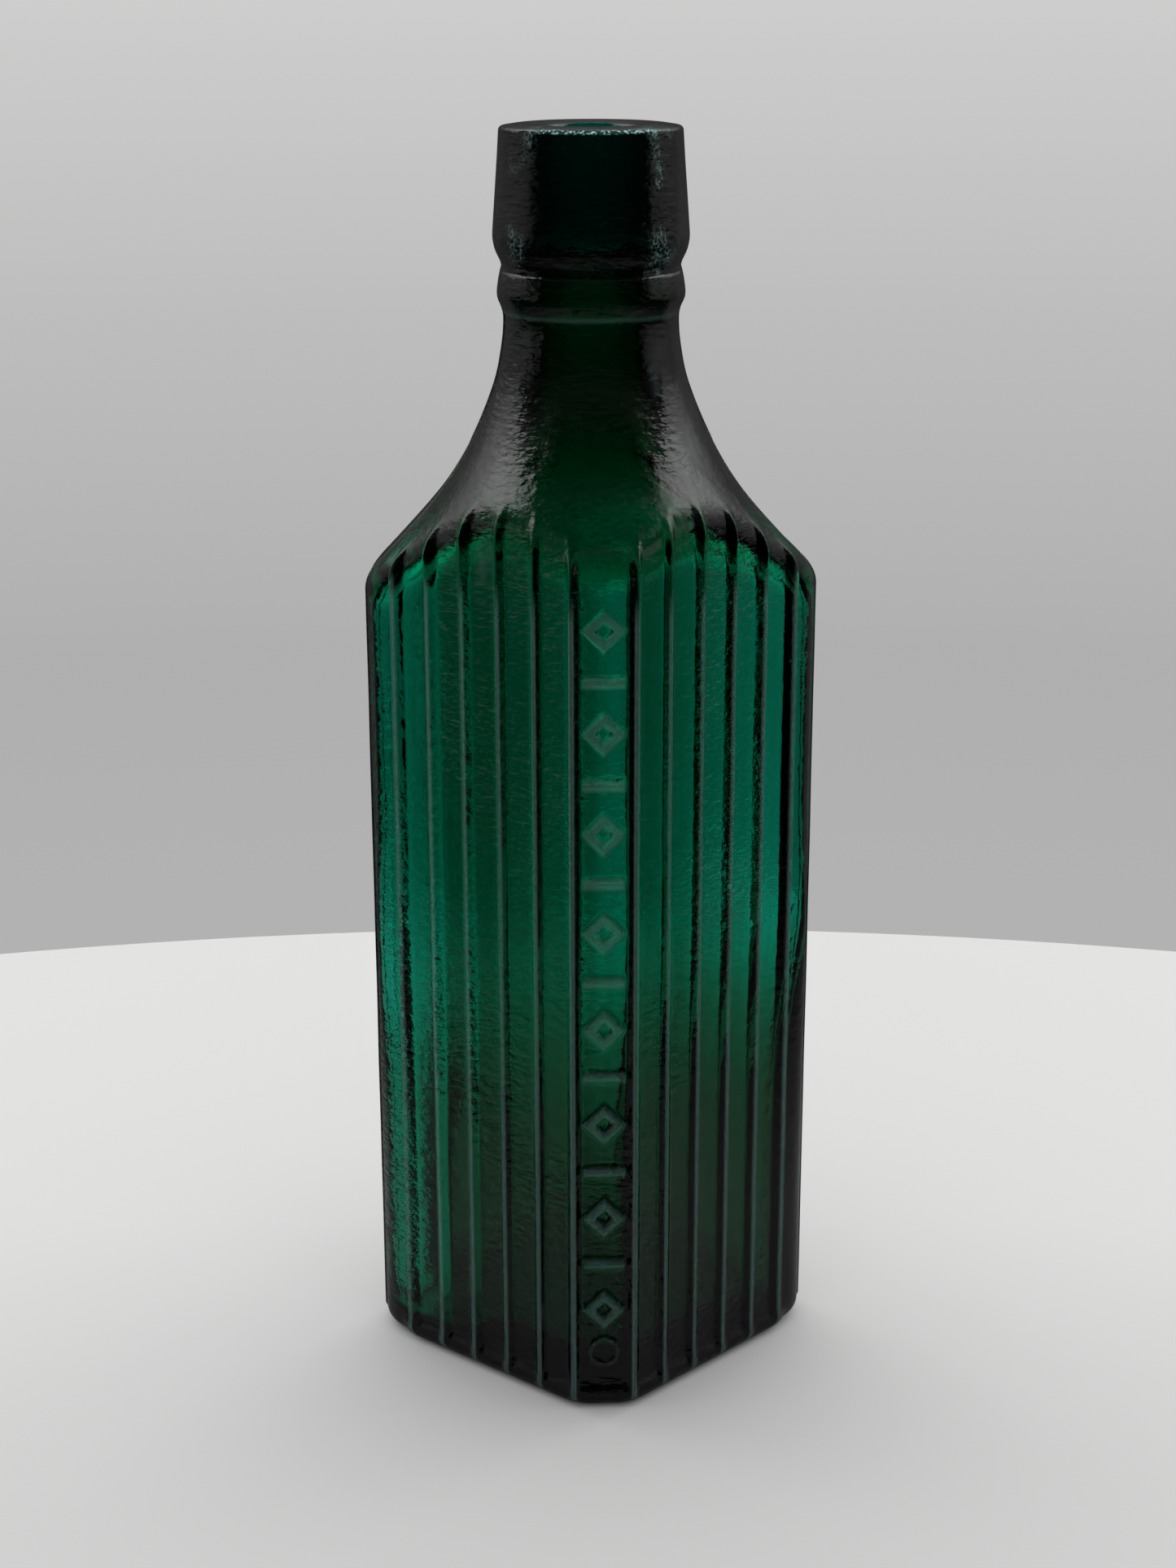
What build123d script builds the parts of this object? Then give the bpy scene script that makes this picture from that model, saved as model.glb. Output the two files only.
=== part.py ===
"""Square mould-blown glass bottle: ribbed front faces, raised ornament, tall collar lip.

Millimetres, +Z up. The origin is the middle of the base, on the neck's axis.
The two ribbed faces look along -Y and +X and meet at the chamfered front corner (+X, -Y).
The two plain faces look along +Y and -X. The three other corners are round.
"""
from build123d import *
import math
import os

# Overall sizes
HEIGHT = 151.6
HALF_SIDE = 21.35               # half the width across the faces, at the base
WALL_DRAFT = 0.0059             # growth of the half width for each unit of height
CORNER_R = 6.6                  # round side and back corners, at the base
FRONT_CORNER_CUT = 5.35         # leg of the chamfer at the front corner
HEEL = 2.2                      # bevel round the foot

# Ribs on the two front faces
RIB_PITCH = 5.65
PANELS_PER_FACE = 5
PANEL_DEPTH = 0.6
PANEL_MOUTH = 5.0               # width of a panel where it opens between two rib crests
PANEL_FLOOR = 3.4               # width of its flat floor
PANEL_FOOT_Z = 3.2              # height where the panels start above the heel

# Narrow panel on the front corner, with its raised ornament
FRONT_PANEL_WIDTH = 6.2
FRONT_PANEL_DEPTH = 0.6
ORNAMENT_RELIEF = 0.5
ORNAMENT_FIRST_Z = 13.0
ORNAMENT_STEP = 6.0
ORNAMENT_COUNT = 15
LOZENGE_HALF_WIDTH = 2.6
LOZENGE_HALF_HEIGHT = 2.0
LOZENGE_LINE = 0.9
BAR_HALF_HEIGHT = 0.55

# Shoulder: a bell on the neck's axis, and two cones set towards the front and back corners
CONE_SHIFT = 9.0
CONE_TIP_Z = 123.8
SHOULDER_FOOT_Z = 91.6
PRISM_TOP_Z = 113.6

# Neck and the bead below the lip
NECK_R = 10.3
NECK_TOP_Z = 137.8
BEAD_R = 11.05
BEAD_Z = 132.1
BEAD_LOW_Z = 129.3
NECK_BORE_R = 5.6
NECK_SPIGOT_R = 8.2             # end of the neck, inside the lip

# Lip
LIP_FOOT_Z = 134.8
LIP_FOOT_R = 10.4
LIP_UNDER_R = 11.15             # half way up the curve under the collar
LIP_WIDEST_R = 11.5
LIP_WIDEST_Z = 138.5
LIP_TOP_R = 10.8
LIP_RIM_ROUND = 1.0
MOUTH_R = 5.0
MOUTH_ROUND = 0.6

# Inside of the body
BASE_THICKNESS = 6.5
WALL_THICKNESS = 3.3
INNER_CORNER_R = 6.5
INNER_CONE_SHIFT = 7.5
INNER_CONE_TIP_Z = 119.6
PUSH_UP_R = 12.5
PUSH_UP_DEPTH = 0.9

DIAGONAL = math.sqrt(0.5)
FRONT_TURN = Rot(0, 0, -45)     # turns +X to the front corner's direction


def half_side(z):
    """Half the width across the faces at a height."""
    return HALF_SIDE + WALL_DRAFT * z


def front_corner_distance(z):
    """Distance from the axis to the chamfer of the front corner at a height."""
    return (2 * half_side(0) - FRONT_CORNER_CUT) * DIAGONAL + WALL_DRAFT * z


def outer_plan():
    """Outline of the body above the heel: a square with a cut front corner and three round ones."""
    square = Rectangle(2 * half_side(HEEL), 2 * half_side(HEEL))
    front = square.vertices().sort_by(lambda vertex: vertex.X - vertex.Y)[-1]
    square = chamfer(front, FRONT_CORNER_CUT)
    others = square.vertices().sort_by(lambda vertex: vertex.X - vertex.Y)[:3]
    return Pos(0, 0, HEEL) * fillet(others, CORNER_R)


def prism():
    """Body of the bottle below the shoulder, with its bevelled heel and no ribs."""
    foot = Pos(0, 0, -HEEL) * offset(outer_plan(), -HEEL)
    opening = math.degrees(math.atan(WALL_DRAFT))
    return loft([foot, outer_plan()]) + extrude(outer_plan(), PRISM_TOP_Z - HEEL, taper=-opening)


def inner_plan(z):
    """Outline of the cavity, with four round corners."""
    width = 2 * (half_side(z) - WALL_THICKNESS)
    square = Rectangle(width, width)
    return Pos(0, 0, z) * fillet(square.vertices(), INNER_CORNER_R)


def bell(points, foot_r):
    """Solid turned about the neck's axis from a flared curve, standing on SHOULDER_FOOT_Z."""
    top_r, top_z = points[0]
    curve = Spline(points, tangents=[(0, -1), (1, -1)])
    sides = curve + Line(curve @ 1, (foot_r, SHOULDER_FOOT_Z))
    closing = Polyline((foot_r, SHOULDER_FOOT_Z), (0, SHOULDER_FOOT_Z), (0, top_z), (top_r, top_z))
    return revolve(Plane.XZ * make_face(sides + closing), Axis.Z)


def corner_cones(shift, tip_z):
    """Two upright cones, moved from the axis towards the front and the back corner."""
    height = tip_z - SHOULDER_FOOT_Z
    cone = Cone(height, 0, height, align=(Align.CENTER, Align.CENTER, Align.MIN))
    cone = Pos(0, 0, SHOULDER_FOOT_Z) * cone
    return FRONT_TURN * (Pos(shift, 0, 0) * cone + Pos(-shift, 0, 0) * cone)


def outer_shoulder():
    """Everything that the shoulder's surface encloses, down to SHOULDER_FOOT_Z."""
    curve = [(NECK_R, BEAD_LOW_Z), (11.5, 121.5), (14.4, 114.6), (18.1, 108.8), (23.5, 103.0)]
    return bell(curve, 34.9) + corner_cones(CONE_SHIFT, CONE_TIP_Z)


def inner_shoulder():
    """The same for the cavity."""
    curve = [(NECK_BORE_R, BEAD_LOW_Z), (6.4, 120.6), (9.6, 113.2), (13.8, 107.4), (19.4, 101.6)]
    return bell(curve, 29.4) + corner_cones(INNER_CONE_SHIFT, INNER_CONE_TIP_Z)


def panel_cutter(middle):
    """Shallow channel between two ribs of the -Y face. middle is its place along X."""

    def section(z):
        face_y = -half_side(z)
        floor_y = face_y + PANEL_DEPTH
        mouth = PANEL_MOUTH / 2
        floor = PANEL_FLOOR / 2
        slope = (mouth - floor) / PANEL_DEPTH
        outline = Polyline(
            (middle - mouth - slope, face_y - 1),
            (middle - floor, floor_y),
            (middle + floor, floor_y),
            (middle + mouth + slope, face_y - 1),
            close=True,
        )
        return Pos(0, 0, z) * make_face(outline)

    return loft([section(PANEL_FOOT_Z), section(PRISM_TOP_Z)])


def face_panels():
    """Channels of both ribbed faces, from the front corner outwards."""
    first_rib = HALF_SIDE - FRONT_CORNER_CUT
    middles = [first_rib - RIB_PITCH * (index + 0.5) for index in range(PANELS_PER_FACE)]
    left = [panel_cutter(middle) for middle in middles]
    across_front_corner = Plane(origin=(0, 0, 0), z_dir=(1, 1, 0))
    right = [mirror(panel, about=across_front_corner) for panel in left]
    return left + right


def front_panel():
    """Recess between the two edge ribs of the front corner."""

    def section(z):
        floor = front_corner_distance(z) - FRONT_PANEL_DEPTH
        return Pos(floor + 1, 0, z) * Rectangle(2, FRONT_PANEL_WIDTH)

    return FRONT_TURN * loft([section(PANEL_FOOT_Z), section(PRISM_TOP_Z)])


def on_front_panel(outline, z):
    """Raise a flat outline (X across, Y up) from the front panel's floor at a height."""
    root = 0.5
    floor = front_corner_distance(z) - FRONT_PANEL_DEPTH
    upright = Plane(origin=(floor - root, 0, z), x_dir=(0, 1, 0), z_dir=(1, 0, 0))
    return FRONT_TURN * extrude(upright * outline, root + ORNAMENT_RELIEF)


def lozenge_outline(half_width, half_height):
    corners = [(half_width, 0), (0, half_height), (-half_width, 0), (0, -half_height)]
    return make_face(Polyline(*corners, close=True))


def ornament():
    """Column of raised lozenges and bars, in turn, up the front corner."""
    ring = lozenge_outline(LOZENGE_HALF_WIDTH, LOZENGE_HALF_HEIGHT)
    inside = 1 - LOZENGE_LINE / (2 * LOZENGE_HALF_HEIGHT * DIAGONAL)
    ring -= lozenge_outline(LOZENGE_HALF_WIDTH * inside, LOZENGE_HALF_HEIGHT * inside)
    bar = Rectangle(2 * LOZENGE_HALF_WIDTH, 2 * BAR_HALF_HEIGHT)
    pieces = []
    for index in range(ORNAMENT_COUNT):
        outline = ring if index % 2 == 0 else bar
        pieces.append(on_front_panel(outline, ORNAMENT_FIRST_Z + index * ORNAMENT_STEP))
    return pieces


def neck():
    """Bead above the shoulder and the spigot that the lip sits on."""
    bead = ThreePointArc((NECK_R, BEAD_LOW_Z), (BEAD_R, BEAD_Z), (LIP_FOOT_R, LIP_FOOT_Z))
    sides = Polyline(
        (LIP_FOOT_R, LIP_FOOT_Z),
        (NECK_SPIGOT_R, LIP_FOOT_Z),
        (NECK_SPIGOT_R, NECK_TOP_Z),
        (0, NECK_TOP_Z),
        (0, BEAD_LOW_Z),
        (NECK_R, BEAD_LOW_Z),
    )
    return revolve(Plane.XZ * make_face(bead + sides), Axis.Z)


def cavity():
    """Space inside the bottle, from the base to the top of the neck."""
    chamber = loft([inner_plan(BASE_THICKNESS), inner_plan(PRISM_TOP_Z)]) & inner_shoulder()
    lower = loft([inner_plan(BASE_THICKNESS), inner_plan(SHOULDER_FOOT_Z)])
    bore_height = NECK_TOP_Z - BEAD_LOW_Z
    bore = Cylinder(NECK_BORE_R, bore_height, align=(Align.CENTER, Align.CENTER, Align.MIN))
    upper = inner_shoulder() - Pos(0, 0, SHOULDER_FOOT_Z) * Box(
        100, 100, PRISM_TOP_Z - SHOULDER_FOOT_Z, align=(Align.CENTER, Align.CENTER, Align.MIN)
    )
    return lower + chamber + upper + Pos(0, 0, BEAD_LOW_Z) * bore


def push_up():
    """Shallow dish under the base."""
    sphere_r = (PUSH_UP_R ** 2 + PUSH_UP_DEPTH ** 2) / (2 * PUSH_UP_DEPTH)
    return Pos(0, 0, PUSH_UP_DEPTH - sphere_r) * Sphere(sphere_r)


def moulded_body():
    shoulder = outer_shoulder()
    walls = prism()
    for panel in face_panels():
        walls -= panel
    walls -= front_panel()
    for piece in ornament():
        walls += piece
    above = Box(100, 100, HEIGHT, align=(Align.CENTER, Align.CENTER, Align.MIN))
    below_shoulder = walls - Pos(0, 0, SHOULDER_FOOT_Z) * above
    top = Pos(0, 0, PRISM_TOP_Z) * above
    under_shoulder = (walls - below_shoulder) & shoulder
    body = below_shoulder + under_shoulder + (shoulder & top) + neck()
    return body - cavity() - push_up()


def collar_lip():
    """Tall tapered collar tooled on to the neck's end."""
    rim_z = HEIGHT - LIP_RIM_ROUND
    under_z = (LIP_FOOT_Z + LIP_WIDEST_Z) / 2
    foot = ThreePointArc((LIP_FOOT_R, LIP_FOOT_Z), (LIP_UNDER_R, under_z), (LIP_WIDEST_R, LIP_WIDEST_Z))
    side = Line((LIP_WIDEST_R, LIP_WIDEST_Z), (LIP_TOP_R, rim_z))
    rim = RadiusArc((LIP_TOP_R, rim_z), (LIP_TOP_R - LIP_RIM_ROUND, HEIGHT), -LIP_RIM_ROUND)
    top = Line((LIP_TOP_R - LIP_RIM_ROUND, HEIGHT), (MOUTH_R + MOUTH_ROUND, HEIGHT))
    mouth = RadiusArc((MOUTH_R + MOUTH_ROUND, HEIGHT), (MOUTH_R, HEIGHT - MOUTH_ROUND), -MOUTH_ROUND)
    inside = Polyline(
        (MOUTH_R, HEIGHT - MOUTH_ROUND),
        (MOUTH_R, NECK_TOP_Z),
        (NECK_SPIGOT_R, NECK_TOP_Z),
        (NECK_SPIGOT_R, LIP_FOOT_Z),
        (LIP_FOOT_R, LIP_FOOT_Z),
    )
    outline = foot + side + rim + top + mouth + inside
    return revolve(Plane.XZ * make_face(outline), Axis.Z)


def main():
    os.makedirs("parts", exist_ok=True)
    nodes = {"moulded_body": moulded_body(), "collar_lip": collar_lip()}
    for name, shape in nodes.items():
        export_step(shape, f"parts/{name}.step")
        print(name, "solids", len(shape.solids()), "volume", round(shape.volume))


main()
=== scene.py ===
"""Square green glass bottle with ribbed front faces, on a pale disc in a soft grey surround.

The shape functions work in millimetres in the CAD frame: +Z up, base middle at the origin.
The materials and the disc are in metres, as Blender is.
An angle round the axis is counted from the front corner (+X, -Y), positive towards +X and +Y.
"""
import math

import bpy
from mathutils import Matrix, Vector, noise


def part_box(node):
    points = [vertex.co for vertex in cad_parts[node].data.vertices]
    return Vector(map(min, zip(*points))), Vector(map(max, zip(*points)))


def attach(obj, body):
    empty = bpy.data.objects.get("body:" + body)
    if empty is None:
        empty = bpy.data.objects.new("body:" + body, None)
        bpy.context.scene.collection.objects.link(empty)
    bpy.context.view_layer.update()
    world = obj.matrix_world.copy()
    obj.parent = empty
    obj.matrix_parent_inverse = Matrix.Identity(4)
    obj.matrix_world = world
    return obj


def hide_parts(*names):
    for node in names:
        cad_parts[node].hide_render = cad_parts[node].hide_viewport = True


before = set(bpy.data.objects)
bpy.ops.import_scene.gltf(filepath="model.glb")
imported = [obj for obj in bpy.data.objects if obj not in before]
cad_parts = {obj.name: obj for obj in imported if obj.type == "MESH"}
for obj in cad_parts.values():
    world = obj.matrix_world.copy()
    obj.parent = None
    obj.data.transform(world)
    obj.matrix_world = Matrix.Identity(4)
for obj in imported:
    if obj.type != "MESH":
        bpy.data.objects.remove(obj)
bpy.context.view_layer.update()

MM = 0.001
FACE_MIDDLE = 45                # degrees from the front corner
SIDE_CORNER = 90
BACK_FACE_MIDDLE = 135
BACK_CORNER = 180

# Heights taken from the frame
LIP_TOP_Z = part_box("collar_lip")[1][2] / MM
LIP_FOOT_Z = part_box("collar_lip")[0][2] / MM
NECK_TOP_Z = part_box("moulded_body")[1][2] / MM

# Body below the shoulder
HALF_SIDE = 21.35               # at the base, to the rib crests
WALL_DRAFT = 0.0059
CORNER_R = 6.6
FRONT_CORNER_CUT = 5.35
HEEL_R = 2.4
DIAGONAL = math.sqrt(0.5)
FRONT_DISTANCE = (2 * HALF_SIDE - FRONT_CORNER_CUT) * DIAGONAL
FRONT_HALF_WIDTH = FRONT_CORNER_CUT * DIAGONAL
CORNER_CENTRE = HALF_SIDE - CORNER_R
CHAMFER_BLEND = 0.1             # how far the cut corner's edges are rounded
CHAMFER_BLEND_LOW = 1.6         # added at the foot
CHAMFER_BLEND_TOP_Z = 3.5
OUTER_RIPPLE = 0.035

# Ribs, by their place along a face from its middle towards the front corner
RIB_PITCH = 5.65
EDGE_RIB = HALF_SIDE - FRONT_CORNER_CUT
RIBS = [EDGE_RIB - RIB_PITCH * index for index in range(6)]
RIB_CREST = 0.25
RIB_FOOT_ROUND = 0.25           # shares of a rib side's width
RIB_TOP_ROUND = 0.12
RIB_WANDER_FINE = 0.07          # how far the ribs' sides stray from straight lines
RIB_WANDER_COARSE = 0.06
LEFT_FLANKS = [0.80, 0.82, 0.80, 0.92, 0.86, 0.84]      # width of each rib's sides, -Y face
RIGHT_FLANKS = [0.82, 0.86, 0.90, 0.88, 0.88, 0.84]     # the same, +X face
PANEL_DEPTH = 0.86
PANEL_FOOT_Z = 0.6
PANEL_FOOT_LENGTH = 3.4
PANEL_FOOT_END = 75             # degrees: past this the foot fades out towards the side corner
BACK_LEVEL_START = 91           # degrees: past this the plain faces come out to the rib crests' level
SEAM_HEIGHT = 0.22
SEAM_HALF_WIDTH = 0.35
SEAM_R = 27.0                   # rough distance of the side corners from the axis
SEAM_SHARE_ON_NECK = 0.8
SEAM_SHARE_ON_SHOULDER = 0.5
SEAM_FADE_Z = 129.1

# Raised ornament on the front corner
ORNAMENT_FIRST_Z = 13.0
ORNAMENT_STEP = 6.0
ORNAMENT_COUNT = 15
LOZENGE_HALF_WIDTH = 2.6
LOZENGE_HALF_HEIGHT = 2.5
ORNAMENT_LINE = 1.1
BAR_HALF_WIDTH = 2.5
BAR_HALF_HEIGHT = 0.55
ORNAMENT_RELIEF = 0.62
ORNAMENT_EDGE = 0.25            # width of the slope round each raised line
ORNAMENT_REACH = 9              # degrees from the front corner, past the panel's edge
FOOT_RING_R = 1.7
FOOT_RING_Z = 7.4
FOOT_RING_HALF_LINE = 0.2
FOOT_RING_SHARE = 0.6           # of the ornament's relief

# Shoulder and neck
SHOULDER_LIFT = 6.5             # how much higher the shoulder stands at the front and back corners
LIFT_LOW_Z = 107.0
LIFT_TOP_Z = 125.0
SHOULDER_BLEND = 1.8
NECK_ONLY_Z = 115               # above this the square body no longer shapes the outside
NECK_PROFILE = [                # height, radius
    (99.0, 26.8), (103.0, 22.8), (108.8, 17.85), (114.6, 14.35), (121.5, 11.45), (126.2, 10.45),
    (129.3, 10.25), (130.3, 10.5), (131.7, 11.12), (133.5, 11.0), (134.8, 10.74),
]
BEAD_FOOT_Z = 130.0
SPIGOT_R = 8.2

# Lip
JOINT_OVERLAP = 0.05            # the two glass pieces share a skin, so that no air shows between them
LIP_PROFILE = [                 # height, radius
    (134.8, 10.74), (135.4, 10.6), (136.0, 10.82), (137.0, 11.3), (138.0, 11.55), (138.8, 11.62),
    (140.0, 11.55), (143.4, 11.3), (147.1, 11.03), (150.8, 10.8),
]
RIM_ROUND = 0.55
RIM_CROWN = 0.25                # how far the top rises between its two edges
MOUTH_R = 5.0
MOUTH_ROUND = 0.8

# Inside
FLOOR_Z = 5.4
FLOOR_ROUND = 2.2
INNER_SIDE = 20.65              # half side of the hollow's square, before the wall thickness is taken off
INNER_SQUARENESS = 10           # a higher power gives the hollow sharper corners
INNER_RIPPLE = 0.16
INNER_BELL = [(101.2, 20.3), (107.2, 12.6), (112.8, 7.4), (119.5, 4.7), (125.6, 3.8), (134.0, 3.7)]
INNER_LIFT = 4.0
INNER_BLEND = 4.0
INNER_NECK_Z = 114              # above this the bell alone shapes the inside
NECK_BORE_R = 3.7
PUSH_UP_R = 12.5
PUSH_UP_DEPTH = 0.9
WALL_THICKNESS = [              # angle from the front corner, thickness
    (-180, 2.8), (-158, 3.4), (-135, 3.9), (-112, 2.3), (-100, 1.9), (-90, 2.2), (-80, 2.0),
    (-70, 2.3), (-45, 3.1), (0, 3.2), (30, 2.4), (60, 2.0), (80, 1.8), (90, 2.2), (100, 1.6),
    (120, 1.9), (150, 2.3), (180, 2.8),
]
RIGHT_EXTRA = 2.6               # added low down, from its top height downwards
RIGHT_EXTRA_TOP_Z = 64
RIGHT_EXTRA_HEIGHT = 46
LEFT_EXTRA = 1.2
LEFT_EXTRA_TOP_Z = 44
LEFT_EXTRA_HEIGHT = 22
LEFT_THICKEST = -118            # degrees: the left extra is twice as much here
THIN_BAND_Z = 51
THIN_BAND_FADE = 20
THIN_BAND_LOSS = 0.45
THIN_CORNER = 88                # degrees: the glass is thin round the left side corner
THIN_CORNER_FLAT = 12
LEFT_FLOOR_DIP = 3.6
RIGHT_FLOOR_DIP = 2.6


def smooth_step(value):
    """0 below 0, 1 above 1, and half a cosine wave between."""
    return 0.5 - 0.5 * math.cos(math.pi * min(max(value, 0.0), 1.0))


def near(value, middle, fade, flat=0.0):
    """1 within flat of the middle, falling smoothly to 0 over the fade beyond it."""
    return 1 - smooth_step((abs(value - middle) - flat) / fade)


def smooth_min(a, b, width):
    """The smaller of two numbers, with the change from one to the other rounded over the width."""
    closeness = max(width - abs(a - b), 0.0) / width
    return min(a, b) - closeness * closeness * width / 4


def smooth_max(a, b, width):
    return -smooth_min(-a, -b, width)


def curve_through(points, x):
    """Cubic curve through points of rising x, straight beyond its ends."""
    last = len(points) - 1
    index = 0
    while index < last - 1 and x > points[index + 1][0]:
        index += 1

    def slope(place):
        before = points[max(place - 1, 0)]
        after = points[min(place + 1, last)]
        return (after[1] - before[1]) / (after[0] - before[0])

    x0, y0 = points[index]
    x1, y1 = points[index + 1]
    if x <= x0:
        return y0 + slope(index) * (x - x0)
    if x >= x1:
        return y1 + slope(index + 1) * (x - x1)
    span = x1 - x0
    u = (x - x0) / span
    rise = slope(index) * span
    run_out = slope(index + 1) * span
    return (y0 * (1 - u) ** 2 * (1 + 2 * u) + rise * u * (1 - u) ** 2
            + y1 * u * u * (3 - 2 * u) - run_out * u * u * (1 - u))


def waves(size, *place):
    """Smooth noise from -1 to 1, with features of about that size in millimetres."""
    return noise.noise(Vector(place) / size)


# ---------------------------------------------------------------- outline of the body

def flank(distance, width):
    """0 on a rib's crest, 1 on the floor of the panel beside it, with straight sides between."""
    share = (distance - RIB_CREST / 2) / width
    return smooth_max(smooth_min(share, 1.0, RIB_FOOT_ROUND), 0.0, RIB_TOP_ROUND)


def nearest_rib(angle):
    """The nearest rib's number from the front corner, and how far away it is."""
    across = math.radians(abs(angle))
    along_front = FRONT_DISTANCE * math.tan(across) if abs(angle) < FACE_MIDDLE else FRONT_HALF_WIDTH
    if along_front < FRONT_HALF_WIDTH:
        return 0, FRONT_HALF_WIDTH - along_front
    along_face = HALF_SIDE * math.tan(math.radians(FACE_MIDDLE) - across)
    distances = [abs(along_face - rib) for rib in RIBS]
    return distances.index(min(distances)), min(distances)


def recess(angle, z):
    """Depth of the pressed surface below the rib crests."""
    if abs(angle) > SIDE_CORNER:
        return PANEL_DEPTH * (1 - smooth_step((abs(angle) - BACK_LEVEL_START) / 9))
    wander = RIB_WANDER_FINE * waves(1.6, angle * 0.8, z, 3.0)
    wander += RIB_WANDER_COARSE * waves(9.0, angle * 0.8, z, 8.0)
    rib, beside = nearest_rib(angle)
    width = (RIGHT_FLANKS if angle > 0 else LEFT_FLANKS)[rib]
    beside = max(beside + wander * min(beside, 1.0), 0.0)
    above_foot = smooth_step((z - PANEL_FOOT_Z) / PANEL_FOOT_LENGTH)
    beyond_foot = smooth_step((abs(angle) - PANEL_FOOT_END) / 5)
    return PANEL_DEPTH * flank(beside, width) * max(above_foot, beyond_foot)


def seam(angle):
    """Height of the ridge that the mould's two halves leave at the side corners."""
    distance = math.radians(abs(angle) - SIDE_CORNER) * SEAM_R
    return SEAM_HEIGHT * near(distance, 0, SEAM_HALF_WIDTH)


def ornament(angle, z):
    """Height of the raised ornament above the front panel."""
    if abs(angle) > ORNAMENT_REACH:
        return 0.0
    across = abs(FRONT_DISTANCE * math.tan(math.radians(angle)))

    def line(distance, half_width):
        return 1 - smooth_step((distance - half_width) / ORNAMENT_EDGE + 0.5)

    from_ring = abs(math.hypot(across, z - FOOT_RING_Z) - FOOT_RING_R)
    ring = line(from_ring, FOOT_RING_HALF_LINE) * FOOT_RING_SHARE
    index = round((z - ORNAMENT_FIRST_Z) / ORNAMENT_STEP)
    if index < 0 or index >= ORNAMENT_COUNT:
        return ORNAMENT_RELIEF * ring
    up = abs(z - ORNAMENT_FIRST_Z - index * ORNAMENT_STEP)
    if index % 2 == 0:
        reach = across / LOZENGE_HALF_WIDTH + up / LOZENGE_HALF_HEIGHT
        normal = math.hypot(1 / LOZENGE_HALF_WIDTH, 1 / LOZENGE_HALF_HEIGHT)
        middle = abs((1 - reach) / normal - ORNAMENT_LINE / 2)
        return ORNAMENT_RELIEF * max(line(middle, ORNAMENT_LINE / 2), ring)
    beyond = max(across - BAR_HALF_WIDTH, up - BAR_HALF_HEIGHT)
    return ORNAMENT_RELIEF * max(line(beyond, 0.0), ring)


def plan_radius(angle, z, inset):
    """Radius of the body's outline at an angle, moved inwards by inset."""
    growth = WALL_DRAFT * z - inset
    side = HALF_SIDE + growth
    from_corner = abs(angle) % SIDE_CORNER
    from_corner = math.radians(min(from_corner, SIDE_CORNER - from_corner))
    from_face = math.radians(FACE_MIDDLE) - from_corner
    flat = side / math.cos(from_face)
    if abs(angle) <= FACE_MIDDLE:
        chamfer = (FRONT_DISTANCE + growth) / math.cos(from_corner)
        low = smooth_step((CHAMFER_BLEND_TOP_Z - z) / CHAMFER_BLEND_TOP_Z)
        return smooth_min(flat, chamfer, CHAMFER_BLEND + CHAMFER_BLEND_LOW * low)
    if side * math.tan(from_face) <= CORNER_CENTRE:
        return flat
    centre = CORNER_CENTRE / DIAGONAL
    corner_r = CORNER_R + growth
    return centre * math.cos(from_corner) + math.sqrt(
        max(corner_r ** 2 - (centre * math.sin(from_corner)) ** 2, 0.0))


def lifted(angle, z, lift):
    """Height on the neck's own curve that a place on the shoulder takes its radius from."""
    share = smooth_step((LIFT_TOP_Z - z) / (LIFT_TOP_Z - LIFT_LOW_Z))
    return z - lift * share * math.cos(math.radians(angle)) ** 2


def outer_radius(angle, z):
    """Outer surface of the body above the heel."""
    ripple = OUTER_RIPPLE * waves(7.0, angle * 0.4, z * 0.7, 20.0)
    upper = curve_through(NECK_PROFILE, lifted(angle, z, SHOULDER_LIFT)) + ripple
    if z > NECK_ONLY_Z:
        return upper + seam(angle) * SEAM_SHARE_ON_NECK * smooth_step((SEAM_FADE_Z - z) / 3 + 1)
    height = seam(angle) + ornament(angle, z)
    body = plan_radius(angle, z, recess(angle, z) - height + ripple)
    return smooth_min(body, upper + SEAM_SHARE_ON_SHOULDER * seam(angle), SHOULDER_BLEND)


def extra_thickness(angle, z):
    """What the wall gains downwards: most on the +X and +Y faces, nothing at the -X, -Y corner.
    All round, a band at mid height is thinner."""
    right = RIGHT_EXTRA * smooth_step((RIGHT_EXTRA_TOP_Z - z) / RIGHT_EXTRA_HEIGHT)
    left = LEFT_EXTRA * smooth_step((LEFT_EXTRA_TOP_Z - z) / LEFT_EXTRA_HEIGHT)
    left *= 1 + near(angle, LEFT_THICKEST, 24)
    thinner_band = THIN_BAND_LOSS * near(z, THIN_BAND_Z, THIN_BAND_FADE)
    right_share = smooth_step(angle / 60 + 0.5) * smooth_step((BACK_CORNER - abs(angle)) / 30)
    away_from_corner = 1 - near(angle, -THIN_CORNER, 22, THIN_CORNER_FLAT)
    return (left + (right - left) * right_share) * away_from_corner - thinner_band


def floor_dip(angle):
    """How much lower the inside floor runs towards the side corners."""
    left = LEFT_FLOOR_DIP * near(angle, -THIN_CORNER, 50, THIN_CORNER_FLAT)
    right = RIGHT_FLOOR_DIP * near(angle, THIN_CORNER, 44)
    return left + right


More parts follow.
